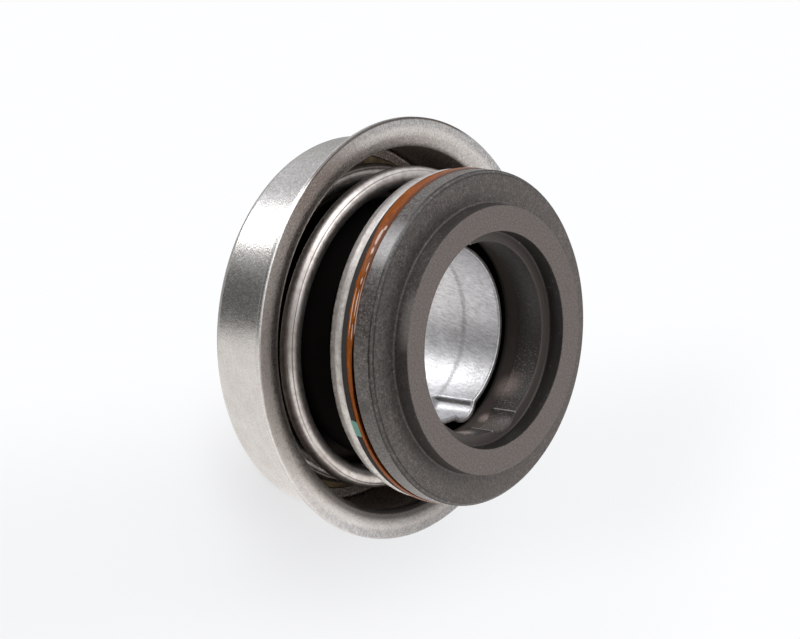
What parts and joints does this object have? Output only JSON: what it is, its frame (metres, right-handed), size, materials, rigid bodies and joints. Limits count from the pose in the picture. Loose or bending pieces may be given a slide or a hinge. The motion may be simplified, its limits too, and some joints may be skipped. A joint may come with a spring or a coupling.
{
  "type": "pump seal",
  "caption": "Stationary half of a water pump face seal: a flanged steel cup holding a sprung carbon ring, a rubber bellows and a ribbed guide sleeve for the shaft.",
  "frame": {"origin": "centre of the cup's rear face, on the seal's axis", "axes": "+Z from the cup's rear face towards the sealing face; the sleeve's two ribs lie on X"},
  "size_m": [0.041, 0.041, 0.0194],
  "materials": {
    "cup_steel": "satin",
    "sleeve_steel": "gloss",
    "passivated_steel": "satin",
    "rubber": "satin",
    "spring_steel": "satin",
    "retainer_steel": "satin",
    "adhesive": "gloss",
    "carbon": "satin"
  },
  "bodies": {
    "case": {"cup": "cup_steel", "inner_sleeve": "sleeve_steel", "rear_spring_seat": "passivated_steel", "bellows": "rubber", "coil_spring": "spring_steel"},
    "head": {"front_retainer": "retainer_steel", "adhesive_bead": "adhesive", "carbon_ring": "carbon"}
  },
  "joints": [
    {"name": "face_travel", "type": "slide", "parent": "case", "child": "head", "axis": [0, 0, -1], "range_m": [0, 0.0036], "stiffness_N_per_m": 2000, "springref_m": -0.002, "deforming": ["coil_spring", "bellows"]}
  ]
}
